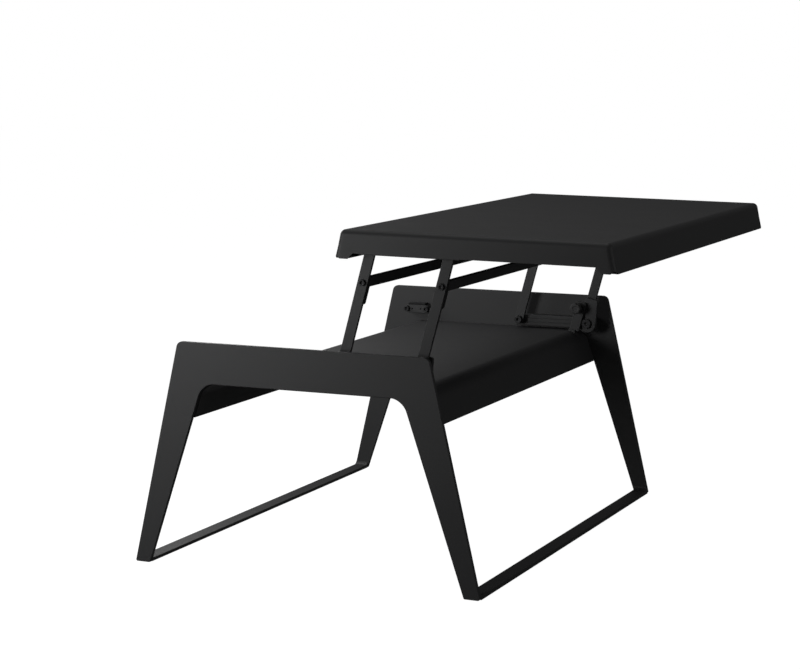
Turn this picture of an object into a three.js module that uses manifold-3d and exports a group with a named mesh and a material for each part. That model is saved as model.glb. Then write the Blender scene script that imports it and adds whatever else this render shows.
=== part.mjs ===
// Lift-top lounge table in bent sheet and flat bar, drawn with its top raised.
// Millimetres, +Z up, +X towards the side the top swings out to, +Y along the table.
// Lengths below are measured from the centre of the base; the whole table is shifted
// at the end so that the origin is the bottom centre of its bounding box.
import * as THREE from 'three';
import { mergeVertices } from 'three/addons/utils/BufferGeometryUtils.js';
import Module from 'manifold-3d';

const wasm = await Module();
wasm.setup();

// ---------------------------------------------------------------- dimensions
const gap = 0.3; // air left between pieces that touch
const ends = [['near', -1], ['far', 1]];

// End frames: flat plates cut to a trestle outline.
const frameHeight = 400;
const frameHalfLength = 454; // outer faces, along Y
const frameThickness = 8;
const frameTopHalf = 237.7;
const footOuter = 330.4;
const footInner = 301.4;
const openingHalf = 190.2;
const beamBottom = 328.4;
const frameTopRadius = 12;
const openingRadius = 33.5;
const footRadius = 3;
const frameInner = frameHalfLength - frameThickness;

// Floor bars: flat bars that tie the feet together along each side.
const floorBarThickness = 6;
const floorBarFillet = 7;
const floorBarOuterLean = (footOuter - frameTopHalf) / frameHeight;

// Shelf: one sheet bent down along both sides.
const sheet = 3;
const shelfTop = 329.4;
const shelfBottom = 266.2;
const shelfHalf = 191; // sharp corner of the bend
const shelfRadius = 34.5;
const shelfLean = 0.338;

// Lift linkage: two parallel pairs of arms.
const raisedAngle = 74.73; // degrees above +X
const foldedAngle = 9.83; // degrees above -X
const armLength = 247.13; // pivot to pivot
const pivotSpacing = 150;
const leftPivotX = 57.3;
const pivotHeight = 346.5;
const armWidth = 18.6;
const armInner = 417;
const armOuter = 423;
const rightArmOffset = -6.13; // bar of the right arm, from its pivot line
const leanAngle = THREE.MathUtils.degToRad(90 - raisedAngle);
const armHole = 4.4;
const looseHole = 6.3; // upper hole of the right arms, where the linkage has its play
const boltShank = 4;

// Cross bars between the near and the far arm of a pair.
const crossScrewAlong = { left: 174.6, right: 172.7 };
const crossRise = 4; // the bar lies this much above its screws
const crossThickness = 6;
const crossFace = 10.3; // outer face, from the arm's centreline
const tabInner = 411.2;
const tabOuter = 416.7;
const tabLeft = -8;
const tabDrop = 38;
const crossScrewShank = 3;

// Hub plates welded to the right arms.
const hubRadius = 18.4;
const hubInner = 411;
const hubOuter = 416.7;
const hubTopAlong = 51.5;
const hubRight = 9;

// Pivot rails on the end frames.
const railInner = 429.5;
const railBottom = 333;
const railTop = 356.6;
const railLeft = 47;
const railRight = 217.5;
const grooveWidth = 2;
const grooveDepth = 1;
const spacerRadius = 8;

// Lock posts, which lean with the raised arms, and their pull knobs.
const postX = 181.7; // centreline where it meets postFoot
const postFoot = 329.4;
const postBottom = 3.7; // along the post, from postFoot
const postLength = 63.4;
const postWidth = 20;
const postInner = 404;
const postOuter = 410;
const footInnerFace = 406;
const footLeft = 169;
const footRight = 184;
const footTop = 336;
const knobX = 190.9;
const knobZ = 378.9;
const knobInner = 385;
const knobHead = 12;
const knobRadius = 11.4;
const knobNeck = 7.5;
const knobFlutes = 8;
const pinRadius = 4;
const pinTip = 410.4;
const pivotHeadRadius = 9.7;

// Rest blocks that carry the lowered top.
const restX = -177.5;
const restLength = 55;
const restInner = 430;
const restBottom = 346.5;
const restTop = 362.6;
const restPad = 4.1;
const restPadLength = 39;
const restScrewSpacing = 44;
const restScrewZ = 354.5;

// Table top: a shallow bent-sheet pan, open below.
const topZ = 604.34; // held level
const topDepth = 48.8;
const topHalfWidth = 247.4; // at the lower edge of the side skirts
const topFlare = 0.205;
const topHalfLength = 444.3;
const topRadius = 10;
const recessDepth = 38.9;
const recessHalf = 213;
const recessChamfer = 10;
const flangeInner = 225; // inner edge of the side skirts' return flanges
const topSag = THREE.MathUtils.degToRad(0.66); // the raised top hangs lower on the right, by its play

// Pivot bars under the top.
const topBarInner = 429.5;
const topBarOuter = topHalfLength - sheet - gap;
const topBarTop = topZ - topRadius;
const topBarReach = 18;

// ------------------------------------------------------------ derived places
const raised = THREE.MathUtils.degToRad(raisedAngle);
const folded = THREE.MathUtils.degToRad(foldedAngle);
const rightPivotX = leftPivotX + pivotSpacing;
const riseX = armLength * Math.cos(raised);
const riseZ = armLength * Math.sin(raised);
const topX = armLength * (Math.cos(raised) + Math.cos(folded)); // centre of the raised top
const lowering = armLength * (Math.sin(raised) - Math.sin(folded));
const topBarBottom = restTop + gap + restPad + gap + lowering; // comes down on the rest pads

// ---------------------------------------------------------------- materials
const paint = (color, roughness = 0.62) => () =>
  new THREE.MeshStandardMaterial({ color, roughness, metalness: 0.15 });
const powderCoat = paint(0x1b1c1e);
const powderCoatArms = paint(0x1d1e20, 0.58);
const blackSteel = () => new THREE.MeshStandardMaterial(
  { color: 0x16171a, roughness: 0.38, metalness: 0.85 },
);
const steel = () => new THREE.MeshStandardMaterial({ color: 0x8b8d90, roughness: 0.32, metalness: 0.9 });
const plastic = () => new THREE.MeshStandardMaterial({ color: 0x26272a, roughness: 0.5, metalness: 0 });
const rubber = () => new THREE.MeshStandardMaterial({ color: 0x101011, roughness: 0.85, metalness: 0 });

// ------------------------------------------------------------------ helpers
// Corners are [x, y, radius]; a radius rounds that corner.
function rounded(corners, steps = 6) {
  const count = corners.length;
  const at = (i) => new THREE.Vector2(corners[i][0], corners[i][1]);
  const points = [];
  corners.forEach((corner, i) => {
    const radius = corner[2] ?? 0;
    const tip = at(i);
    if (radius === 0) {
      points.push(tip);
      return;
    }
    const back = at((i + count - 1) % count).sub(tip).normalize();
    const on = at((i + 1) % count).sub(tip).normalize();
    const half = Math.acos(back.dot(on)) / 2;
    const centre = back.clone().add(on).normalize().multiplyScalar(radius / Math.sin(half)).add(tip);
    const reach = radius / Math.tan(half);
    const from = tip.clone().addScaledVector(back, reach).sub(centre);
    const to = tip.clone().addScaledVector(on, reach).sub(centre);
    const sweep = Math.atan2(from.cross(to), from.dot(to));
    for (let k = 0; k <= steps; k += 1) {
      points.push(from.clone().rotateAround(new THREE.Vector2(), (sweep * k) / steps).add(centre));
    }
  });
  return points;
}

const rectangle = (x0, y0, x1, y1, radius = 0, steps = 4) =>
  rounded([[x0, y0, radius], [x1, y0, radius], [x1, y1, radius], [x0, y1, radius]], steps);

const span = (side, inner, outer) => (side > 0 ? [inner, outer] : [-outer, -inner]);

function extrude(points, depth) {
  return new THREE.ExtrudeGeometry(new THREE.Shape(points), { depth, bevelEnabled: false });
}

// Outline in X and Z, extruded along Y.
function alongY(points, y0, y1) {
  return extrude(points, y1 - y0).rotateX(Math.PI / 2).translate(0, y1, 0);
}

// Outline in Y and Z, extruded along X.
function alongX(points, x0, x1) {
  const turn = new THREE.Matrix4().set(0, 0, 1, x0, 1, 0, 0, 0, 0, 1, 0, 0, 0, 0, 0, 1);
  return extrude(points, x1 - x0).applyMatrix4(turn);
}

function rodY(radius, y0, y1, x = 0, z = 0, sides = 24) {
  return new THREE.CylinderGeometry(radius, radius, y1 - y0, sides).translate(x, (y0 + y1) / 2, z);
}

function solid(geometry) {
  const bare = geometry.clone();
  bare.deleteAttribute('normal');
  bare.deleteAttribute('uv');
  const merged = mergeVertices(bare, 1e-4);
  return new wasm.Manifold(new wasm.Mesh({
    numProp: 3,
    vertProperties: new Float32Array(merged.attributes.position.array),
    triVerts: new Uint32Array(merged.index.array),
  }));
}

function shell(body) {
  const mesh = body.getMesh();
  const geometry = new THREE.BufferGeometry();
  geometry.setAttribute('position', new THREE.BufferAttribute(new Float32Array(mesh.vertProperties), 3));
  geometry.setIndex(new THREE.BufferAttribute(new Uint32Array(mesh.triVerts), 1));
  geometry.computeVertexNormals();
  return geometry;
}

const join = (...parts) => parts.map(solid).reduce((a, b) => a.add(b));
const cut = (body, ...tools) => tools.map(solid).reduce((a, b) => a.subtract(b), body);

const table = new THREE.Group();

function place(name, geometry, material, x = 0, z = 0, lean = 0, parent = table) {
  const mesh = new THREE.Mesh(geometry, material());
  mesh.name = name;
  mesh.position.set(x, 0, z);
  mesh.rotation.y = lean;
  parent.add(mesh);
}

// A socket-head fastener along Y. headFace and shankEnd are distances from the table's
// middle; the head lies on the side of headFace that faces away from shankEnd.
function fastener(side, headFace, headHeight, headRadius, shankRadius, shankEnd, socket) {
  const inward = headFace < shankEnd;
  const under = inward ? headFace + headHeight : headFace - headHeight;
  const bevel = headHeight * 0.25;
  const profile = [[0, headFace], [headRadius - bevel, headFace],
    [headRadius, inward ? headFace + bevel : headFace - bevel], [headRadius, under],
    [shankRadius, under], [shankRadius, shankEnd], [0, shankEnd]];
  const points = profile.map(([r, y]) => new THREE.Vector2(r, y * side));
  const turned = new THREE.LatheGeometry((inward ? side > 0 : side < 0) ? points : points.reverse(), 24);
  const depth = headHeight * 0.6;
  const [y0, y1] = [headFace + (inward ? -1 : 1), headFace + (inward ? depth : -depth)]
    .map((y) => y * side).sort((a, b) => a - b);
  return shell(cut(solid(turned), rodY(socket, y0, y1, 0, 0, 6)));
}

// A ring between an arm and the bar that carries its pivot.
function spacer(side, carrier) {
  const [y0, y1] = span(side, armOuter + gap, carrier - gap);
  return shell(cut(solid(rodY(spacerRadius, y0, y1)), rodY(boltShank + gap, y0 - 1, y1 + 1)));
}

// ------------------------------------------------------------------- base
function endFrames() {
  const outline = rounded([
    [-footOuter, 0, footRadius], [-footInner, 0, footRadius],
    [-openingHalf, beamBottom, openingRadius], [openingHalf, beamBottom, openingRadius],
    [footInner, 0, footRadius], [footOuter, 0, footRadius],
    [frameTopHalf, frameHeight, frameTopRadius], [-frameTopHalf, frameHeight, frameTopRadius],
  ], 8);
  ends.forEach(([end, side]) => {
    place(`end_frame_${end}`, alongY(outline, ...span(side, frameInner, frameHalfLength)), powderCoat);
  });
}

function floorBars() {
  const reach = frameInner - gap;
  const rise = floorBarThickness + floorBarFillet;
  const topEdge = (side) => {
    const points = [];
    for (let k = 0; k <= 6; k += 1) {
      const turn = (k / 6) * (Math.PI / 2);
      points.push([side * (reach - floorBarFillet + floorBarFillet * Math.sin(turn)),
        rise - floorBarFillet * Math.cos(turn)]);
    }
    return points;
  };
  const side = [[-reach, 0], [reach, 0], ...topEdge(1).reverse(), ...topEdge(-1)]
    .map(([y, z]) => new THREE.Vector2(y, z));
  const section = rounded([[footInner, 0], [footOuter - 0.2, 0],
    [footOuter - 0.2 - rise * floorBarOuterLean, rise], [footInner, rise]]);
  const bar = solid(alongX(side, footInner - 1, footOuter + 1))
    .intersect(solid(alongY(section, -reach, reach)));
  place('floor_bar_right', shell(bar), powderCoat);
  const mirrored = alongY(section.map((p) => new THREE.Vector2(-p.x, p.y)).reverse(), -reach, reach);
  const left = solid(alongX(side, -footOuter - 1, 1 - footInner)).intersect(solid(mirrored));
  place('floor_bar_left', shell(left), powderCoat);
}

function shelf() {
  const slant = Math.hypot(1, shelfLean);
  const lower = shelfHalf + (shelfTop - shelfBottom) * shelfLean;
  const innerHalf = shelfHalf + sheet * shelfLean - sheet * slant;
  const outer = rounded([[-lower, shelfBottom], [-shelfHalf, shelfTop, shelfRadius],
    [shelfHalf, shelfTop, shelfRadius], [lower, shelfBottom]], 8);
  const inner = rounded([
    [-lower + sheet * slant, shelfBottom], [-innerHalf, shelfTop - sheet, shelfRadius - sheet],
    [innerHalf, shelfTop - sheet, shelfRadius - sheet], [lower - sheet * slant, shelfBottom]], 8);
  const reach = frameInner - gap;
  place('shelf', alongY([...outer, ...inner.reverse()].reverse(), -reach, reach), powderCoat);
}

function pivotRails() {
  const outer = frameInner - gap;
  const third = (railTop - railBottom) / 3;
  ends.forEach(([end, side]) => {
    const outline = rectangle(railLeft, railBottom, railRight, railTop, 2);
    let rail = solid(alongY(outline, ...span(side, railInner, outer)));
    [1, 2].forEach((k) => {
      const z = railBottom + k * third;
      const groove = rectangle(railLeft - 1, z - grooveWidth / 2, railRight + 1, z + grooveWidth / 2);
      rail = cut(rail, alongY(groove, ...span(side, railInner - 1, railInner + grooveDepth)));
    });
    [leftPivotX, rightPivotX].forEach((x) => {
      rail = cut(rail, rodY(boltShank + gap, ...span(side, railInner - 1, outer - 2), x, pivotHeight));
    });
    place(`pivot_rail_${end}`, shell(rail), powderCoat);
  });
}

function lowerPivots() {
  const shankEnd = frameInner - gap - 2.5;
  ends.forEach(([end, side]) => {
    [['left', leftPivotX, armInner - gap, 4.6, spacerRadius],
      ['right', rightPivotX, hubInner - gap, 4.4, pivotHeadRadius]].forEach(([name, x, under, height, radius]) => {
      const bolt = fastener(side, under - height, height, radius, boltShank, shankEnd, 3.4);
      place(`base_pivot_bolt_${end}_${name}`, bolt, blackSteel, x, pivotHeight);
      place(`base_pivot_spacer_${end}_${name}`, spacer(side, railInner), plastic, x, pivotHeight);
    });
  });
}

// Each post is a leaning flat bar with a foot shaped to the bend of the shelf.
function lockPosts() {
  const bend = shelfHalf - shelfRadius / Math.tan((Math.PI - Math.atan(1 / shelfLean)) / 2);
  const foot = [];
  for (let x = footLeft; x <= footRight; x += 3) {
    const rise = Math.sqrt((shelfRadius + gap) ** 2 - (x - bend) ** 2);
    foot.push(new THREE.Vector2(x, shelfTop - shelfRadius + rise));
  }
  foot.push(new THREE.Vector2(footRight, footTop), new THREE.Vector2(footLeft + 3, footTop));
  ends.forEach(([end, side]) => {
    const upright = rectangle(-postWidth / 2, postBottom, postWidth / 2, postLength, 3);
    const bar = alongY(upright, ...span(side, postInner, postOuter))
      .rotateY(leanAngle).translate(postX, 0, postFoot);
    const post = cut(join(bar, alongY(foot, ...span(side, footInnerFace, postOuter))),
      rodY(pinRadius + gap, ...span(side, postInner - 1, postOuter + 1), knobX, knobZ));
    place(`lock_post_${end}`, shell(post), powderCoat);
  });
}

function restBlocks() {
  const outer = frameInner - gap;
  ends.forEach(([end, side]) => {
    const round = (restTop - restBottom) / 2 - 0.01;
    const outline = rectangle(restX - restLength / 2, restBottom, restX + restLength / 2, restTop, round, 8);
    const holes = [-1, 1].map((k) =>
      rodY(3 + gap, ...span(side, restInner - 1, outer - 2), restX + (k * restScrewSpacing) / 2, restScrewZ));
    const block = cut(solid(alongY(outline, ...span(side, restInner, outer))), ...holes);
    place(`rest_block_${end}`, shell(block), powderCoat);
    const padFoot = restTop + gap;
    const padHalf = restPadLength / 2;
    const pad = rectangle(restX - padHalf, padFoot, restX + padHalf, padFoot + restPad, 1.5);
    place(`rest_pad_${end}`, alongY(pad, ...span(side, restInner + 0.5, outer - 0.5)), rubber);
    ['left', 'right'].forEach((name, k) => {
      const screw = fastener(side, restInner - gap - 5.4, 5.4, 6, 3, outer - 2.5, 2.9);
      place(`rest_screw_${end}_${name}`, screw, blackSteel, restX + (k - 0.5) * restScrewSpacing, restScrewZ);
    });
  });
}

// ------------------------------------------------------------------- arms
// Arm outlines are drawn upright from their lower pivot and then leaned over.
function arms() {
  const half = armWidth / 2;
  const bores = (inner, outer, offset, upper, screwAlong) => [
    rodY(armHole, inner - 1, outer + 1), rodY(upper, inner - 1, outer + 1, 0, armLength),
    rodY(crossScrewShank + gap, inner - 1, outer + 1, offset, screwAlong)];
  ends.forEach(([end, side]) => {
    const [y0, y1] = span(side, armInner, armOuter);
    const leftBar = rectangle(-half, -half, half, armLength + half, half - 0.01, 8);
    const leftHoles = bores(y0, y1, 0, armHole, crossScrewAlong.left);
    place(`arm_${end}_left`, shell(cut(solid(alongY(leftBar, y0, y1)), ...leftHoles)),
      powderCoatArms, leftPivotX, pivotHeight, leanAngle);
    const bar = rectangle(rightArmOffset - half, -8, rightArmOffset + half, armLength + 6, 4);
    const body = join(alongY(bar, y0, y1), rodY(14, y0, y1, 0, 0, 32), rodY(11, y0, y1, 0, armLength, 32));
    const rightHoles = bores(y0, y1, rightArmOffset, looseHole, crossScrewAlong.right);
    place(`arm_${end}_right`, shell(cut(body, ...rightHoles)),
      powderCoatArms, rightPivotX, pivotHeight, leanAngle);
    const [h0, h1] = span(side, hubInner, hubOuter);
    const neck = rounded([[-hubRadius * 0.97, 4], [hubRadius * 0.97, 4], [hubRight, hubTopAlong, 3],
      [rightArmOffset - half, hubTopAlong, 3]], 4);
    const hub = cut(join(rodY(hubRadius, h0, h1, 0, 0, 40), alongY(neck, h0, h1)), rodY(armHole, h0 - 1, h1 + 1));
    place(`arm_hub_${end}`, shell(hub), powderCoatArms, rightPivotX, pivotHeight, leanAngle);
  });
}

function crossBars() {
  const half = armWidth / 2;
  [['left', leftPivotX, 0], ['right', rightPivotX, rightArmOffset]].forEach(([name, x, offset]) => {
    const right = offset + crossFace;
    const screwAlong = crossScrewAlong[name];
    const low = screwAlong + crossRise - half;
    const high = screwAlong + crossRise + half;
    const strip = rectangle(right - crossThickness, low, right, high, 0.8, 2);
    const tab = rectangle(offset + tabLeft, screwAlong - tabDrop, right, high, 5);
    let body = solid(alongY(strip, -tabInner - 1, tabInner + 1));
    ends.forEach(([, side]) => {
      body = body.add(solid(alongY(tab, ...span(side, tabInner, tabOuter))));
    });
    ends.forEach(([, side]) => {
      body = cut(body, rodY(crossScrewShank + gap, ...span(side, tabInner - 1, tabOuter + 1), offset, screwAlong));
    });
    place(`cross_bar_${name}`, shell(body), powderCoatArms, x, pivotHeight, leanAngle);
    ends.forEach(([end, side]) => {
      const screw = fastener(side, armOuter + gap + 3.2, 3.2, 5.6, crossScrewShank, tabInner + 0.8, 2.6);
      const seat = new THREE.Vector3(offset, 0, screwAlong).applyAxisAngle(new THREE.Vector3(0, 1, 0), leanAngle);
      place(`cross_bar_screw_${end}_${name}`, screw, blackSteel, x + seat.x, pivotHeight + seat.z, leanAngle);
    });
  });
}

// -------------------------------------------------------------------- top
// Everything on the top is drawn level, then hung from the left upper pivots with its sag.
const hung = new THREE.Group();
hung.position.set(leftPivotX + riseX, 0, pivotHeight + riseZ);
hung.rotation.y = topSag;
const level = new THREE.Group();
level.position.set(-leftPivotX - riseX, 0, -pivotHeight - riseZ);
hung.add(level);
table.add(hung);

// A pan outline, pulled in by `inset` and dropped by `below` at its open edge.
function panSection(half, flare, inset, below) {
  const slant = Math.hypot(1, flare);
  const bottom = topZ - topDepth - below;
  const low = half - inset * slant + below * flare;
  const high = half - topDepth * flare - inset * slant + inset * flare;
  return rounded([[-low, bottom], [low, bottom], [high, topZ - inset, topRadius - inset],
    [-high, topZ - inset, topRadius - inset]], 5);
}

function tableTop() {
  const pan = (inset, below) => solid(alongY(panSection(topHalfWidth, topFlare, inset, below), -450, 450))
    .intersect(solid(alongX(panSection(topHalfLength, 0, inset, below), -260, 260)));
  const low = topZ - topDepth;
  const recess = rounded([[-recessHalf - recessChamfer, low - 5], [recessHalf + recessChamfer, low - 5],
    [recessHalf + recessChamfer, low], [recessHalf, topZ - recessDepth],
    [-recessHalf, topZ - recessDepth], [-recessHalf - recessChamfer, low]]);
  const flanges = [-1, 1].map((side) => {
    const [x0, x1] = span(side, flangeInner, topHalfWidth);
    return pan(0, 0).intersect(solid(alongY(rectangle(x0, low, x1, low + sheet, 0, 1), -450, 450)));
  });
  const body = cut(pan(0, 0).subtract(pan(sheet, 6)), alongY(recess, -460, 460));
  place('table_top', shell(flanges.reduce((whole, flange) => whole.add(flange), body)),
    powderCoat, topX, 0, 0, level);
}

function topPivots() {
  const z = pivotHeight + riseZ;
  const x0 = leftPivotX + riseX;
  const x1 = rightPivotX + riseX;
  ends.forEach(([end, side]) => {
    const outline = rounded([[x0 - topBarReach, topBarBottom, 5], [x1 + topBarReach, topBarBottom, 5],
      [x1 + topBarReach, topBarTop], [x0 - topBarReach, topBarTop]], 4);
    const holes = [x0, x1].map((x) => rodY(boltShank + gap, ...span(side, topBarInner - 1, topBarOuter + 1), x, z));
    place(`top_pivot_bar_${end}`,
      shell(cut(solid(alongY(outline, ...span(side, topBarInner, topBarOuter))), ...holes)), powderCoat, 0, 0, 0, level);
    [['left', x0], ['right', x1]].forEach(([name, x]) => {
      const bolt = fastener(side, armInner - gap - 4.6, 4.6, spacerRadius, boltShank, topBarOuter, 3.4);
      place(`top_pivot_bolt_${end}_${name}`, bolt, blackSteel, x, z, 0, level);
      place(`top_pivot_spacer_${end}_${name}`, spacer(side, topBarInner), plastic, x, z, 0, level);
    });
  });
}

// ------------------------------------------------------------------- lock
function lockKnobs() {
  const lobes = [];
  for (let k = 0; k < knobFlutes * 6; k += 1) {
    const turn = (k / (knobFlutes * 6)) * Math.PI * 2;
    const radius = knobRadius - 1 + 0.45 * Math.cos(turn * knobFlutes);
    lobes.push(new THREE.Vector2(radius * Math.cos(turn), radius * Math.sin(turn)));
  }
  ends.forEach(([end, side]) => {
    const [y0, y1] = span(side, knobInner, knobInner + knobHead);
    const head = new THREE.ExtrudeGeometry(new THREE.Shape(lobes),
      { depth: y1 - y0 - 2, bevelThickness: 1, bevelSize: 1, bevelSegments: 2 })
      .rotateX(Math.PI / 2).translate(0, y1 - 1, 0);
    const neck = rodY(knobNeck, ...span(side, knobInner + knobHead - 2, postInner - gap));
    const socket = rodY(pinRadius + gap, ...span(side, knobInner + 4, postInner + 1));
    place(`lock_knob_${end}`, shell(cut(join(head, neck), socket)), plastic, knobX, knobZ);
    place(`lock_pin_${end}`, rodY(pinRadius, ...span(side, knobInner + 4.3, pinTip), 0, 0, 20), steel, knobX, knobZ);
  });
}

endFrames();
floorBars();
shelf();
pivotRails();
lowerPivots();
lockPosts();
restBlocks();
arms();
crossBars();
tableTop();
topPivots();
lockKnobs();

const bounds = new THREE.Box3().setFromObject(table, true);
table.position.x = -(bounds.min.x + bounds.max.x) / 2;

const group = new THREE.Group();
group.add(table);
export default group;
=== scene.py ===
import math

import bmesh
import bpy
from mathutils import Matrix, Vector


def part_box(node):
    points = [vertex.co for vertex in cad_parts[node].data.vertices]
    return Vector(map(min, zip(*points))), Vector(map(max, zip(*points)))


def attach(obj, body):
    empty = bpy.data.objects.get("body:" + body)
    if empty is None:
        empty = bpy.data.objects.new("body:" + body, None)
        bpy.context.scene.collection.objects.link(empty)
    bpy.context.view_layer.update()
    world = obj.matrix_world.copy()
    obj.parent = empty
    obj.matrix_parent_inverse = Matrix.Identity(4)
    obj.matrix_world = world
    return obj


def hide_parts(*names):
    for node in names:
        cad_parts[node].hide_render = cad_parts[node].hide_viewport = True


# The looks of the lift-top table. Shapes are written in millimetres in the table's own frame: X from the
# centre of the base, Y along the table, Z up. build() turns them into metres in the row frame.
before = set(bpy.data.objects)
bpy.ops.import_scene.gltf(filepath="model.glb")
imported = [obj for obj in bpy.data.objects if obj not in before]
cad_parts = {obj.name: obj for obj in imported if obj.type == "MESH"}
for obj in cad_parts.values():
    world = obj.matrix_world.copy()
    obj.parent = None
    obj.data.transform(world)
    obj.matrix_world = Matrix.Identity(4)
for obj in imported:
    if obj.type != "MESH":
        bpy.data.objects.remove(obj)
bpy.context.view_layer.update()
shelf_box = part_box("shelf")
BASE_X = (shelf_box[0].x + shelf_box[1].x) * 500

ENDS = (("near", -1), ("far", 1))
GAP = 0.3

# Distances from the table's middle, along Y
FRAME_IN, FRAME_OUT = 446.0, 454.0
FITTING_OUT = 445.7  # everything fixed to an end frame's inner face
BRACKET_IN = 429.5  # inner faces of the pivot rails and of the top's pivot bars
BOLT_END = 443.2

# Rest blocks
REST_X = -177.5
REST_LOW, REST_HIGH = 346.5, 362.6
PAD = 4.1

# The lift linkage
RAISED = math.radians(74.73)
FOLDED = math.radians(9.83)
SAG = math.radians(0.66)
LEAN = math.pi / 2 - RAISED
ARM = 247.13
PIVOT_Z = 346.5
PIVOT_X = {"left": 57.3, "right": 207.3}
BAR_OFFSET = {"left": 0.0, "right": -6.13}
HALF_BAR = 9.3
ARM_IN, ARM_OUT = 417.0, 423.0
TOP_X = ARM * (math.cos(RAISED) + math.cos(FOLDED))
LOWERING = ARM * (math.sin(RAISED) - math.sin(FOLDED))
UPPER_X = {name: x + ARM * math.cos(RAISED) for name, x in PIVOT_X.items()}
UPPER_Z = PIVOT_Z + ARM * math.sin(RAISED)
# The raised top hangs a little lower on its free side, about the left upper pivots.
HANG = (Matrix.Translation((UPPER_X["left"], 0, UPPER_Z)) @ Matrix.Rotation(SAG, 4, "Y")
        @ Matrix.Translation((-UPPER_X["left"], 0, -UPPER_Z)))

# The pan of the top, held level
TOP_HIGH, TOP_DEEP, TOP_RECESS = 604.34, 48.8, 38.9
TOP_LOW = TOP_HIGH - TOP_DEEP
TOP_HALF_X, TOP_HALF_Y = 247.4, 444.3
TOP_SHEET = 3.0


# ------------------------------------------------------------------ outlines
def arc(cx, cz, radius, start, stop, steps):
    """Points on a circle, angles in degrees."""
    turns = [math.radians(start + (stop - start) * k / steps) for k in range(steps + 1)]
    return [(cx + radius * math.cos(t), cz + radius * math.sin(t)) for t in turns]


def rounded(corners, steps=8):
    """A closed outline from corners (x, z, radius)."""
    out = []
    for i, corner in enumerate(corners):
        tip = Vector(corner[:2])
        radius = corner[2] if len(corner) > 2 else 0
        if not radius:
            out.append(tuple(tip))
            continue
        back = (Vector(corners[i - 1][:2]) - tip).normalized()
        on = (Vector(corners[(i + 1) % len(corners)][:2]) - tip).normalized()
        half = math.acos(max(-1, min(1, back.dot(on)))) / 2
        centre = tip + (back + on).normalized() * radius / math.sin(half)
        reach = radius / math.tan(half)
        a, b = tip + back * reach - centre, tip + on * reach - centre
        sweep = math.atan2(a.x * b.y - a.y * b.x, a.dot(b))
        for k in range(steps + 1):
            t = sweep * k / steps
            out.append((centre.x + a.x * math.cos(t) - a.y * math.sin(t),
                        centre.y + a.x * math.sin(t) + a.y * math.cos(t)))
    return out


def box_outline(x0, z0, x1, z1, radius=0.0, steps=8):
    return rounded([(x0, z0, radius), (x1, z0, radius), (x1, z1, radius), (x0, z1, radius)], steps)


def leaned(outline, x, z=PIVOT_Z):
    """An outline drawn upright from its pivot, leaned over with the raised arms."""
    c, s = math.cos(LEAN), math.sin(LEAN)
    return [(x + u * c + v * s, z - u * s + v * c) for u, v in outline]


def span(side, inner, outer):
    return (inner, outer) if side > 0 else (-outer, -inner)


# -------------------------------------------------------------------- meshes
def loops(bm, rings):
    """Skins a list of equally long vertex rings, each a closed loop, and closes both ends."""
    made = [[bm.verts.new(p) for p in ring] for ring in rings]
    n = len(made[0])
    for a, b in zip(made, made[1:]):
        for k in range(n):
            bm.faces.new((a[k], a[(k + 1) % n], b[(k + 1) % n], b[k]))
    bm.faces.new(made[0])
    bm.faces.new(list(reversed(made[-1])))


def slab(bm, outline, y0, y1):
    """An X-Z outline made solid from y0 to y1."""
    loops(bm, [[(x, y, z) for x, z in outline] for y in (y0, y1)])


def beam(bm, outline, x0, x1):
    """A Y-Z outline made solid from x0 to x1."""
    loops(bm, [[(x, y, z) for y, z in outline] for x in (x0, x1)])


def turned(bm, rings, x, z, side, segments=48):
    """Rings (radius, |y|, sides) turned about an axis along Y. sides 0 is round, 6 a hexagon by its half
    width, and any other number that many flutes."""
    flute = 0.45
    previous = None
    for radius, y, sides in rings:
        if radius == 0:
            ring = [bm.verts.new((x, y * side, z))]
        else:
            ring = []
            for k in range(segments):
                t = 2 * math.pi * k / segments
                r = radius
                if sides == 6:
                    r = radius / math.cos((t + math.pi / 6) % (math.pi / 3) - math.pi / 6)
                elif sides:
                    r = radius + flute * math.cos(sides * t)
                ring.append(bm.verts.new((x + r * math.cos(t), y * side, z + r * math.sin(t))))
        if previous:
            for k in range(segments):
                quad = [previous[k % len(previous)], previous[(k + 1) % len(previous)],
                        ring[(k + 1) % len(ring)], ring[k % len(ring)]]
                bm.faces.new(list(dict.fromkeys(quad)))
        previous = ring


def clean(bm):
    bmesh.ops.remove_doubles(bm, verts=bm.verts, dist=1e-4)
    bmesh.ops.recalc_face_normals(bm, faces=bm.faces)


def carve(bm, tool, operation):
    """The first shape joined with the second, or cut by it, as one clean surface."""
    pieces = []
    for source in (bm, tool):
        clean(source)
        mesh = bpy.data.meshes.new("working")
        source.to_mesh(mesh)
        source.free()
        pieces.append(bpy.data.objects.new("working", mesh))
        bpy.context.scene.collection.objects.link(pieces[-1])
    made = pieces[0].modifiers.new("carve", "BOOLEAN")
    made.operation, made.solver, made.object = operation, "EXACT", pieces[1]
    bpy.context.view_layer.update()
    graph = bpy.context.evaluated_depsgraph_get()
    result = bpy.data.meshes.new_from_object(pieces[0].evaluated_get(graph))
    whole = bmesh.new()
    whole.from_mesh(result)
    for mesh in [result] + [piece.data for piece in pieces]:
        bpy.data.meshes.remove(mesh)
    return whole


def to_frame(bm, body):
    """From millimetres in the table's own frame to row-frame metres. The top's pieces are drawn level,
    then hung."""
    if body == "top":
        bmesh.ops.transform(bm, matrix=HANG, verts=bm.verts)
    for v in bm.verts:
        v.co = ((v.co.x + BASE_X) / 1000, v.co.y / 1000, v.co.z / 1000)


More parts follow.
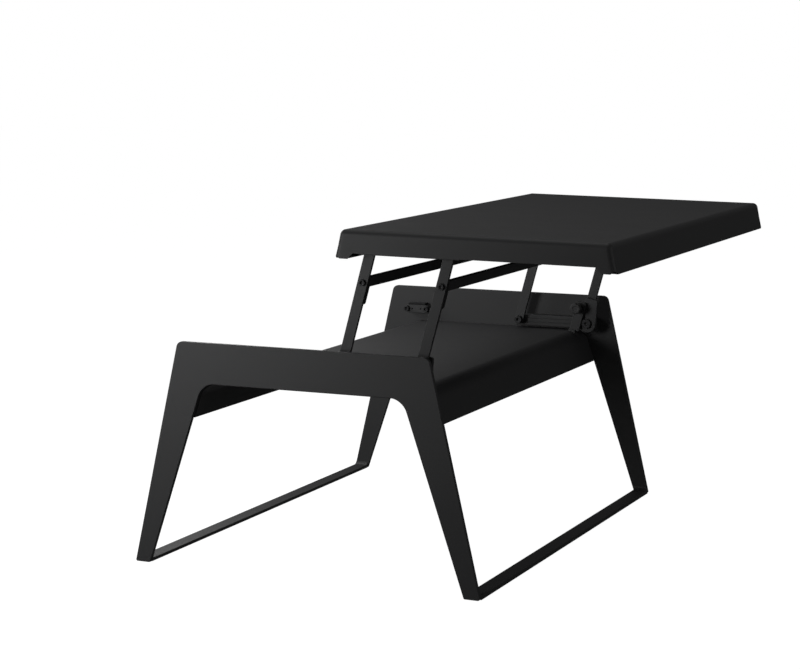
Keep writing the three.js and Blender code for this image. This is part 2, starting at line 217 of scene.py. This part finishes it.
def build(name, bm, body, material, replaces, bevel=0.5, segments=2, angle=40):
    """Bevels the hard edges, moves the piece into the row frame and puts it on its body."""
    clean(bm)
    if bevel:
        hard = [e for e in bm.edges if e.is_manifold and e.calc_face_angle(0) > math.radians(angle)]
        bmesh.ops.bevel(bm, geom=hard, offset=bevel, segments=segments, profile=0.5,
                        affect="EDGES", clamp_overlap=True)
    to_frame(bm, body)
    mesh = bpy.data.meshes.new(name)
    bm.to_mesh(mesh)
    bm.free()
    mesh.polygons.foreach_set("use_smooth", [True] * len(mesh.polygons))
    mesh.set_sharp_from_angle(angle=math.radians(50))
    mesh.materials.append(material)
    piece = bpy.data.objects.new(name, mesh)
    bpy.context.scene.collection.objects.link(piece)
    normals = piece.modifiers.new("even_shading", "WEIGHTED_NORMAL")
    normals.keep_sharp = True
    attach(piece, body)
    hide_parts(replaces)


# ----------------------------------------------------------------- materials
def node(tree, kind, **values):
    made = tree.nodes.new(kind)
    for key, value in values.items():
        if hasattr(made, key):
            setattr(made, key, value)
        else:
            made.inputs[key.replace("_", " ")].default_value = value
    return made


def finish(name, dark, light, rough, grain, bump_strength, mottle, specular):
    """A coated or moulded surface: mottled colour and gloss, with a fine raised grain.
    grain and mottle are in bumps per metre, rough is the lowest and highest roughness."""
    material = bpy.data.materials.new(name)
    material.use_nodes = True
    tree = material.node_tree
    shader = tree.nodes["Principled BSDF"]
    shader.inputs["Specular IOR Level"].default_value = specular
    where = tree.nodes.new("ShaderNodeTexCoord")
    cloud = node(tree, "ShaderNodeTexNoise", Scale=mottle, Detail=3.0, Roughness=0.6)
    fine = node(tree, "ShaderNodeTexNoise", Scale=grain, Detail=2.0, Roughness=0.55)
    cells = node(tree, "ShaderNodeTexVoronoi", Scale=grain * 0.45, feature="SMOOTH_F1")
    for texture in (cloud, fine, cells):
        tree.links.new(where.outputs["Object"], texture.inputs["Vector"])
    tone = tree.nodes.new("ShaderNodeValToRGB")
    tone.color_ramp.elements[0].position = 0.3
    tone.color_ramp.elements[1].position = 0.7
    tone.color_ramp.elements[0].color = (*dark, 1)
    tone.color_ramp.elements[1].color = (*light, 1)
    both = tree.nodes.new("ShaderNodeMath")
    both.operation = "MULTIPLY_ADD"
    both.inputs[1].default_value = 0.45
    tree.links.new(fine.outputs["Fac"], both.inputs[0])
    weight = tree.nodes.new("ShaderNodeMath")
    weight.operation = "MULTIPLY"
    weight.inputs[1].default_value = 0.55
    tree.links.new(cloud.outputs["Fac"], weight.inputs[0])
    tree.links.new(weight.outputs[0], both.inputs[2])
    tree.links.new(both.outputs[0], tone.inputs["Fac"])
    tree.links.new(tone.outputs["Color"], shader.inputs["Base Color"])
    gloss = tree.nodes.new("ShaderNodeMapRange")
    gloss.inputs["From Min"].default_value = 0.3
    gloss.inputs["From Max"].default_value = 0.7
    gloss.inputs["To Min"].default_value = rough[0]
    gloss.inputs["To Max"].default_value = rough[1]
    tree.links.new(both.outputs[0], gloss.inputs["Value"])
    tree.links.new(gloss.outputs["Result"], shader.inputs["Roughness"])
    height = tree.nodes.new("ShaderNodeMath")
    height.operation = "ADD"
    tree.links.new(fine.outputs["Fac"], height.inputs[0])
    tree.links.new(cells.outputs["Distance"], height.inputs[1])
    bump = tree.nodes.new("ShaderNodeBump")
    bump.inputs["Strength"].default_value = bump_strength
    bump.inputs["Distance"].default_value = 0.0002
    tree.links.new(height.outputs[0], bump.inputs["Height"])
    tree.links.new(bump.outputs["Normal"], shader.inputs["Normal"])
    return material


def machined(name, tint, rough):
    """Turned steel: fine grooves round the axis, along Y, with a mottled gloss."""
    material = bpy.data.materials.new(name)
    material.use_nodes = True
    tree = material.node_tree
    shader = tree.nodes["Principled BSDF"]
    shader.inputs["Metallic"].default_value = 1.0
    where = tree.nodes.new("ShaderNodeTexCoord")
    stretch = tree.nodes.new("ShaderNodeMapping")
    stretch.inputs["Scale"].default_value = (0.15, 1.0, 0.15)
    tree.links.new(where.outputs["Object"], stretch.inputs["Vector"])
    grooves = node(tree, "ShaderNodeTexNoise", Scale=1500.0, Detail=2.0)
    tree.links.new(stretch.outputs["Vector"], grooves.inputs["Vector"])
    stain = node(tree, "ShaderNodeTexNoise", Scale=350.0, Detail=3.0)
    tree.links.new(where.outputs["Object"], stain.inputs["Vector"])
    tone = tree.nodes.new("ShaderNodeValToRGB")
    tone.color_ramp.elements[0].position = 0.35
    tone.color_ramp.elements[1].position = 0.65
    tone.color_ramp.elements[0].color = (*(0.7 * c for c in tint), 1)
    tone.color_ramp.elements[1].color = (*tint, 1)
    tree.links.new(stain.outputs["Fac"], tone.inputs["Fac"])
    tree.links.new(tone.outputs["Color"], shader.inputs["Base Color"])
    gloss = tree.nodes.new("ShaderNodeMapRange")
    gloss.inputs["To Min"].default_value = rough[0]
    gloss.inputs["To Max"].default_value = rough[1]
    tree.links.new(grooves.outputs["Fac"], gloss.inputs["Value"])
    tree.links.new(gloss.outputs["Result"], shader.inputs["Roughness"])
    bump = tree.nodes.new("ShaderNodeBump")
    bump.inputs["Strength"].default_value = 0.25
    bump.inputs["Distance"].default_value = 0.00005
    tree.links.new(grooves.outputs["Fac"], bump.inputs["Height"])
    tree.links.new(bump.outputs["Normal"], shader.inputs["Normal"])
    return material


COAT = finish("powder_coat_matt", (0.0218, 0.0220, 0.0227), (0.0252, 0.0254, 0.0261), (0.53, 0.58),
              grain=1400, bump_strength=0.1, mottle=14, specular=0.35)
ARM_COAT = finish("powder_coat_satin", (0.017, 0.0172, 0.018), (0.0225, 0.0228, 0.0235), (0.44, 0.54),
                  grain=1600, bump_strength=0.1, mottle=20, specular=0.35)
NYLON = finish("black_nylon", (0.020, 0.0205, 0.021), (0.029, 0.0295, 0.030), (0.48, 0.66),
               grain=2200, bump_strength=0.3, mottle=220, specular=0.4)
RUBBER = finish("black_rubber", (0.009, 0.009, 0.0092), (0.014, 0.014, 0.0144), (0.75, 0.9),
                grain=1600, bump_strength=0.45, mottle=150, specular=0.25)
BLACK_STEEL = machined("blackened_steel", (0.036, 0.036, 0.037), (0.45, 0.6))
STEEL = machined("ground_steel", (0.46, 0.46, 0.47), (0.2, 0.34))


# ---------------------------------------------------------------------- base
def end_frames():
    outline = rounded([(-330.4, 0, 3), (-301.4, 0, 3), (-190.2, 328.4, 33.5), (190.2, 328.4, 33.5),
                       (301.4, 0, 3), (330.4, 0, 3), (237.7, 400, 12), (-237.7, 400, 12)], 18)
    for end, side in ENDS:
        bm = bmesh.new()
        slab(bm, outline, *span(side, FRAME_IN, FRAME_OUT))
        build(f"end_plate_{end}", bm, "base", COAT, f"end_frame_{end}", bevel=0.8, segments=3)


def floor_bars():
    reach, thick, fillet = FITTING_OUT, 6.0, 7.0
    inner, outer, lean = 301.4, 330.2, 0.2318
    edge = arc(reach - fillet, thick + fillet, fillet, -90, 0, 8)
    outline = [(-reach, 0), (reach, 0)] + list(reversed(edge)) + [(-y, z) for y, z in edge]
    for name, s in (("left", -1), ("right", 1)):
        bm = bmesh.new()
        loops(bm, [[(s * inner, y, z) for y, z in outline],
                   [(s * (outer - lean * z), y, z) for y, z in outline]])
        build(f"foot_bar_{name}", bm, "base", COAT, f"floor_bar_{name}", bevel=0.7)


def shelf():
    half, top, bottom, radius, lean, sheet = 191.0, 329.4, 266.2, 34.5, 0.338, 3.0
    slant = math.hypot(1, lean)
    low = half + (top - bottom) * lean
    inner = half + sheet * lean - sheet * slant
    outer = rounded([(-low, bottom), (-half, top, radius), (half, top, radius), (low, bottom)], 24)
    within = rounded([(-low + sheet * slant, bottom), (-inner, top - sheet, radius - sheet),
                      (inner, top - sheet, radius - sheet), (low - sheet * slant, bottom)], 24)
    bm = bmesh.new()
    slab(bm, outer + list(reversed(within)), -FITTING_OUT, FITTING_OUT)
    build("shelf_sheet", bm, "base", COAT, "shelf", bevel=0.6)


def pivot_rails():
    inner, outer, low, high, edge = BRACKET_IN, FITTING_OUT, 333.0, 356.6, 1.6
    third = (high - low) / 3
    for end, side in ENDS:
        face = []
        for z in (low + third, low + 2 * third):
            face += [(inner, z - 0.6), (inner + 0.4, z - 0.4), (inner + 0.4, z + 0.4), (inner, z + 0.6)]
        outline = [(outer, low), (outer, high)] + arc(inner + edge, high - edge, edge, 90, 180, 4)
        outline += list(reversed(face)) + arc(inner + edge, low + edge, edge, 180, 270, 4)
        bm = bmesh.new()
        beam(bm, [(y * side, z) for y, z in outline], 47, 217.5)
        build(f"rail_{end}", bm, "base", COAT, f"pivot_rail_{end}", bevel=0.35)


def ring_piece(name, body, replaces, x, z, side):
    """The spacer ring on a pivot bolt, between the arm and its bracket."""
    radius, bore, soft = 8.0, 4.3, 0.5
    y0, y1 = ARM_OUT + GAP, BRACKET_IN - GAP
    bm = bmesh.new()
    turned(bm, [(bore, y0, 0), (radius - soft, y0, 0), (radius, y0 + soft, 0), (radius, y1 - soft, 0),
                (radius - soft, y1, 0), (bore, y1, 0), (bore, y0, 0)], x, z, side)
    build(name, bm, body, NYLON, replaces, bevel=0)


def screw(name, body, replaces, x, z, side, face, under, radius, shank, end, socket, dome=0.5):
    """A socket-head fastener along Y. face, under and end are distances from the table's middle, and dome
    is how far the head is rounded, from 0, flat."""
    d = 1 if under > face else -1
    height = abs(under - face)
    soft = height * 0.38 * dome
    rings = [(0, face + d * (height * 0.62 + 0.5), 0), (socket * 0.9, face + d * height * 0.62, 6),
             (socket, face + d * (height * 0.58), 6), (socket, face + d * 0.25, 6), (socket + 0.25, face, 6)]
    for k in range(7):
        t = math.pi / 2 * k / 6
        rings.append((radius - soft + soft * math.sin(t), face + d * (soft - soft * math.cos(t)), 0))
    rings += [(radius, under - d * 0.3, 0), (radius - 0.3, under, 0), (shank, under, 0),
              (shank, end, 0), (0, end, 0)]
    bm = bmesh.new()
    turned(bm, rings, x, z, side)
    build(name, bm, body, BLACK_STEEL, replaces, bevel=0)


def lower_pivots():
    for end, side in ENDS:
        for name, under, height, radius in (("left", ARM_IN - GAP, 4.6, 8.0), ("right", 410.7, 4.4, 9.7)):
            x, z = PIVOT_X[name], PIVOT_Z
            screw(f"pivot_bolt_{end}_{name}", "base", f"base_pivot_bolt_{end}_{name}", x, z, side,
                  under - height, under, radius, 4.0, BOLT_END, 3.0)
            ring_piece(f"pivot_ring_{end}_{name}", "base", f"base_pivot_spacer_{end}_{name}", x, z, side)


def rest_blocks():
    half, pitch, screw_z, pad_half = 27.5, 22.0, 354.5, 19.5
    pad_low = REST_HIGH + GAP
    for end, side in ENDS:
        bm = bmesh.new()
        outline = box_outline(REST_X - half, REST_LOW, REST_X + half, REST_HIGH, 8.04, 14)
        slab(bm, outline, *span(side, 430, FITTING_OUT))
        drill = bmesh.new()
        for place in (REST_X - 10, REST_X + 9.4):
            turned(drill, [(0, 428, 0), (1.6, 428, 0), (1.6, 433, 0), (0, 434, 0)], place, screw_z, side, 20)
        bm = carve(bm, drill, "DIFFERENCE")
        build(f"rest_block_body_{end}", bm, "base", COAT, f"rest_block_{end}",
              bevel=0.7, segments=3)
        bm = bmesh.new()
        outline = box_outline(REST_X - pad_half, pad_low, REST_X + pad_half, pad_low + PAD, 1.5)
        slab(bm, outline, *span(side, 430.5, 445.2))
        build(f"rest_pad_strip_{end}", bm, "base", RUBBER, f"rest_pad_{end}", bevel=0.6)
        for name, s in (("left", -1), ("right", 1)):
            screw(f"rest_cap_screw_{end}_{name}", "base", f"rest_screw_{end}_{name}", REST_X + s * pitch,
                  screw_z, side, 424.3, 429.7, 6.0, 3.0, BOLT_END, 2.6, dome=0.45)


def lock_posts():
    foot_x, foot_z = 181.7, 329.4
    bend_x, bend_z, bend_radius = 166.24, 294.9, 34.5
    for end, side in ENDS:
        bm = bmesh.new()
        slab(bm, leaned(box_outline(-10, 3.7, 10, 63.4, 3), foot_x, foot_z), *span(side, 404, 410))
        sole = [(x, bend_z + math.sqrt((bend_radius + GAP) ** 2 - (x - bend_x) ** 2))
                for x in range(169, 185, 3)]
        slab(bm, sole + [(184, 336), (172, 336)], *span(side, 406, 409.8))
        build(f"lock_stand_{end}", bm, "base", COAT, f"lock_post_{end}", bevel=0.7, segments=3)


def locks():
    x, z, face, radius, edge = 190.9, 378.9, 385.0, 10.4, 1.4
    back = face + 12
    for end, side in ENDS:
        bm = bmesh.new()
        rings = [(0, face + 0.9, 0), (4.6, face + 0.9, 0), (5.2, face + 0.1, 0), (5.8, face, 0),
                 (radius - edge, face, 8)]
        for k in range(1, 6):
            t = math.pi / 2 * k / 5
            rings.append((radius - edge + edge * math.sin(t) + 0.5 * k / 5,
                          face + 1.6 * (1 - math.cos(t)), 8))
        rings += [(radius + 0.5, back - 1.8, 8), (radius + 0.1, back - 0.6, 8), (radius - 0.9, back, 8),
                  (7.9, back, 0), (7.5, back + 0.5, 0), (7.5, 403.3, 0), (7.1, 403.7, 0),
                  (4.3, 403.7, 0), (4.3, 390, 0), (0, 390, 0)]
        turned(bm, rings, x, z, side, 96)
        build(f"lock_grip_{end}", bm, f"lock_{end}", NYLON, f"lock_knob_{end}", bevel=0)
        bm = bmesh.new()
        pin = [(0, 390.2, 0), (4, 390.2, 0), (4, 409.6, 0), (3.2, 410.4, 0), (0, 410.4, 0)]
        turned(bm, pin, x, z, side, 40)
        build(f"lock_bolt_{end}", bm, f"lock_{end}", STEEL, f"lock_pin_{end}", bevel=0)


# ---------------------------------------------------------------------- arms
def arm_outline(name):
    if name == "left":
        return box_outline(-HALF_BAR, -HALF_BAR, HALF_BAR, ARM + HALF_BAR, HALF_BAR - 0.01, 16)
    left, right = BAR_OFFSET["right"] - HALF_BAR, BAR_OFFSET["right"] + HALF_BAR
    foot, head, bottom, top = 14.0, 11.0, -8.0, ARM + 6
    foot_start = math.degrees(math.acos(right / foot))
    foot_end = -180 + math.degrees(math.asin(-bottom / foot))
    head_start = math.degrees(math.asin((top - ARM) / head))
    head_end = -math.degrees(math.acos(right / head))
    outline = arc(0, 0, foot, foot_start, foot_end, 24)
    outline += arc(left + 4, bottom + 4, 4, 270, 180, 6)[1:] + arc(left + 4, top - 4, 4, 180, 90, 6)
    return outline + arc(0, ARM, head, head_start, head_end, 16)


def hub_outline():
    radius, top = 18.4, 51.5
    start = math.degrees(math.asin(4 / radius))
    neck = rounded([(17.96, 4), (9, top, 3), (BAR_OFFSET["right"] - HALF_BAR, top, 3), (-17.96, 4)], 6)
    return neck[1:-1] + arc(0, 0, radius, 180 - start, 360 + start, 30)


def arms():
    for end, side in ENDS:
        for name in ("left", "right"):
            bm = bmesh.new()
            slab(bm, leaned(arm_outline(name), PIVOT_X[name]), *span(side, ARM_IN, ARM_OUT))
            build(f"lift_arm_{end}_{name}", bm, f"arms_{name}", ARM_COAT, f"arm_{end}_{name}",
                  bevel=0.6, segments=3)
        bm = bmesh.new()
        slab(bm, leaned(hub_outline(), PIVOT_X["right"]), *span(side, 411, ARM_IN - GAP))
        build(f"arm_boss_{end}", bm, "arms_right", ARM_COAT, f"arm_hub_{end}",
              bevel=0.6, segments=3)


def cross_bars():
    face, thick, rise, reach = 10.3, 6.0, 4.0, 411.2
    for name, along in (("left", 174.6), ("right", 172.7)):
        offset, x = BAR_OFFSET[name], PIVOT_X[name]
        right, low, high = offset + face, along + rise - HALF_BAR, along + rise + HALF_BAR
        bm = bmesh.new()
        slab(bm, leaned(box_outline(right - thick, low, right, high, 0.8, 3), x), -reach, reach)
        tab = box_outline(offset - 8, along - 38, right, high, 5, 10)
        for end, side in ENDS:
            slab(bm, leaned(tab, x), *span(side, reach, ARM_IN - GAP))
        build(f"tie_bar_{name}", bm, f"arms_{name}", ARM_COAT, f"cross_bar_{name}")
        (sx, sz), = leaned([(offset, along)], x)
        for end, side in ENDS:
            screw(f"tie_screw_{end}_{name}", f"arms_{name}", f"cross_bar_screw_{end}_{name}", sx, sz, side,
                  ARM_OUT + 3.5, ARM_OUT + GAP, 5.6, 3.0, 412.0, 2.6, dome=0.35)


# ----------------------------------------------------------------------- top
def pan_shell(inset, steps=10):
    """Rings of one face of the pan, from its rim up to the flat. inset is how far inside the outer face
    it lies."""
    flare, corner_rise = 0.205, 4.5
    recess_half, recess_run = 213, 10
    shoulder = recess_half + recess_run
    radius = 10.0 - inset
    slant = math.hypot(1, flare)
    low, top = TOP_LOW, TOP_HIGH - inset
    half_low = TOP_HALF_X - inset * slant
    half_y = TOP_HALF_Y - inset
    tilt = math.atan(flare)
    arc_x = half_low - (top - low) * flare - radius * math.tan((math.pi / 2 - tilt) / 2)
    arc_z = top - radius

    def half_x(z):
        if z <= arc_z + radius * math.sin(tilt):
            return half_low - (z - low) * flare
        return arc_x + math.sqrt(max(0.0, radius ** 2 - (z - arc_z) ** 2))

    def corner(z):
        return math.sqrt(max(0.0, radius ** 2 - max(0.0, z - arc_z) ** 2))

    def rim(x):
        return low + (TOP_DEEP - TOP_RECESS) * min(1, max(0, (shoulder - abs(x)) / recess_run))

    middle = low + 22
    levels = [(low, 0.0), (low + (middle - low) / 2, 0.5), (middle, 1.0), (arc_z - 6, 1.0), (arc_z, 1.0)]
    levels += [(arc_z + radius * math.sin(math.pi / 2 * k / steps), 1.0) for k in range(1, steps + 1)]
    rings = []
    for z, lift in levels:
        hx, rc = half_x(z), corner(z)
        hy = half_y - radius + rc
        ring = []
        for sx, sy in ((1, 1), (-1, 1), (-1, -1), (1, -1)):
            turn = math.degrees(math.atan2(sy, sx)) - 45
            for k in range(9):
                t = math.radians(turn + 90 * k / 8)
                rise = corner_rise * (1 - lift) * math.sin(math.pi * k / 8)
                x, y = sx * (hx - rc) + rc * math.cos(t), sy * (hy - rc) + rc * math.sin(t)
                ring.append((x, y, z + rise))
            if sx == sy:
                for x in (shoulder, recess_half, 71, -71, -recess_half, -shoulder):
                    x *= sx
                    ring.append((x, sy * hy, z if lift == 1 else rim(x) + (middle - rim(x)) * lift))
            else:
                for y in (290, 97, -97, -290):
                    ring.append((sx * hx, y * sy, z))
        rings.append(ring)
    return rings


def table_top():
    outer, inner = pan_shell(0), pan_shell(TOP_SHEET)
    bm = bmesh.new()
    loops(bm, [[(x + TOP_X, y, z) for x, y, z in ring] for ring in list(reversed(outer)) + inner])
    low, high, half, inmost = TOP_LOW, TOP_LOW + TOP_SHEET, TOP_HALF_X - TOP_SHEET / 2, 225
    reach = 433
    flanges = bmesh.new()
    for side in (-1, 1):
        edge = [(inmost, low), (half, low), (half - 0.6, high), (inmost, high)]
        slab(flanges, [(TOP_X + side * x, z) for x, z in edge], -reach, reach)
    bm = carve(bm, flanges, "UNION")
    build("top_pan", bm, "top", COAT, "table_top", bevel=0.7, segments=3, angle=60)


def top_pivots():
    """The bars under the top, as deep as it takes to come down on the rest pads."""
    x0, x1, z = UPPER_X["left"], UPPER_X["right"], UPPER_Z
    low, high, past = REST_HIGH + GAP + PAD + GAP + LOWERING, TOP_HIGH - 10.04, 18
    for end, side in ENDS:
        bm = bmesh.new()
        outline = rounded([(x0 - past, low, 5), (x1 + past, low, 5), (x1 + past, high), (x0 - past, high)], 8)
        slab(bm, outline, *span(side, BRACKET_IN, 441.0))
        build(f"pivot_strip_{end}", bm, "top", COAT, f"top_pivot_bar_{end}", bevel=0.6)
        for name, x in (("left", x0), ("right", x1)):
            screw(f"upper_bolt_{end}_{name}", "top", f"top_pivot_bolt_{end}_{name}", x, z, side,
                  ARM_IN - GAP - 4.6, ARM_IN - GAP, 8.0, 4.0, 440.9, 3.0)
            ring_piece(f"upper_ring_{end}_{name}", "top", f"top_pivot_spacer_{end}_{name}", x, z, side)


# --------------------------------------------------------------------- stage
def stage():
    """The floor and the room. Light Path nodes make both look white to the camera, and they light the
    table only as a grey floor and a dim room do."""
    bm = bmesh.new()
    bmesh.ops.create_grid(bm, x_segments=8, y_segments=8, size=14)
    mesh = bpy.data.meshes.new("floor")
    bm.to_mesh(mesh)
    bm.free()
    floor = bpy.data.objects.new("floor", mesh)
    floor.location.z = -0.0003
    bpy.context.scene.collection.objects.link(floor)
    material = bpy.data.materials.new("pale_floor")
    material.use_nodes = True
    tree = material.node_tree
    shader = tree.nodes["Principled BSDF"]
    shader.inputs["Base Color"].default_value = (0.16, 0.16, 0.16, 1)
    shader.inputs["Roughness"].default_value = 0.9
    shader.inputs["Specular IOR Level"].default_value = 0.0
    seen = tree.nodes.new("ShaderNodeLightPath")
    glow = tree.nodes.new("ShaderNodeMath")
    glow.operation = "MULTIPLY"
    glow.inputs[1].default_value = 0.985
    tree.links.new(seen.outputs["Is Camera Ray"], glow.inputs[0])
    shader.inputs["Emission Color"].default_value = (1, 1, 1, 1)
    tree.links.new(glow.outputs[0], shader.inputs["Emission Strength"])
    mesh.materials.append(material)

    world = bpy.data.worlds.new("studio")
    bpy.context.scene.world = world
    world.use_nodes = True
    tree = world.node_tree
    back = tree.nodes["Background"]
    back.inputs["Color"].default_value = (1, 1, 1, 1)
    seen = tree.nodes.new("ShaderNodeLightPath")
    level = tree.nodes.new("ShaderNodeMapRange")
    level.inputs["To Min"].default_value = 0.095
    level.inputs["To Max"].default_value = 1.0
    tree.links.new(seen.outputs["Is Camera Ray"], level.inputs["Value"])
    tree.links.new(level.outputs["Result"], back.inputs["Strength"])


def lamp(name, place, target, size, power):
    data = bpy.data.lights.new(name, "AREA")
    data.shape = "RECTANGLE"
    data.size, data.size_y = size
    data.energy = power
    made = bpy.data.objects.new(name, data)
    made.location = place
    made.rotation_euler = (Vector(target) - Vector(place)).to_track_quat("-Z", "Y").to_euler()
    made.visible_camera = False
    bpy.context.scene.collection.objects.link(made)


def lights():
    lamp("near_left", (-1.0, -1.5, 0.62), (-0.4, -0.4, 0.38), (0.6, 0.6), 11.4)
    lamp("front", (0.2, -4.2, 1.6), (0, 0, 0.4), (2.0, 2.0), 3.3)
    lamp("overhead", (-0.7, 0.5, 3.2), (0, 0, 0.4), (2.6, 2.6), 18)
    lamp("right", (3.4, -0.6, 1.2), (0, 0, 0.3), (2.0, 1.6), 12)
    lamp("shelf_fill", (-0.75, 0.2, 0.7), (0.05, 0, 0.33), (0.5, 0.5), 3.9)


def camera():
    x, y, z = 1599.135, -3553.577, 923.054
    yaw, pitch, roll = -0.427593, 0.141965, 0.0014337
    sensor, lens_to_width = 36, 2.61099625
    ahead = Vector((math.sin(yaw) * math.cos(pitch), math.cos(yaw) * math.cos(pitch), -math.sin(pitch)))
    right = Vector((math.cos(yaw), -math.sin(yaw), 0))
    down = ahead.cross(right)
    across = right * math.cos(roll) + down * math.sin(roll)
    below = down * math.cos(roll) - right * math.sin(roll)
    data = bpy.data.cameras.new("camera")
    data.sensor_width = sensor
    data.lens = sensor * lens_to_width
    data.clip_end = 60
    made = bpy.data.objects.new("camera", data)
    turn = Matrix((across, -below, -ahead)).transposed().to_4x4()
    made.matrix_world = Matrix.Translation(((x + BASE_X) / 1000, y / 1000, z / 1000)) @ turn
    bpy.context.scene.collection.objects.link(made)
    bpy.context.scene.camera = made


end_frames()
floor_bars()
shelf()
pivot_rails()
lower_pivots()
rest_blocks()
lock_posts()
locks()
arms()
cross_bars()
table_top()
top_pivots()
stage()
lights()
camera()
bpy.context.scene.view_settings.view_transform = "Standard"
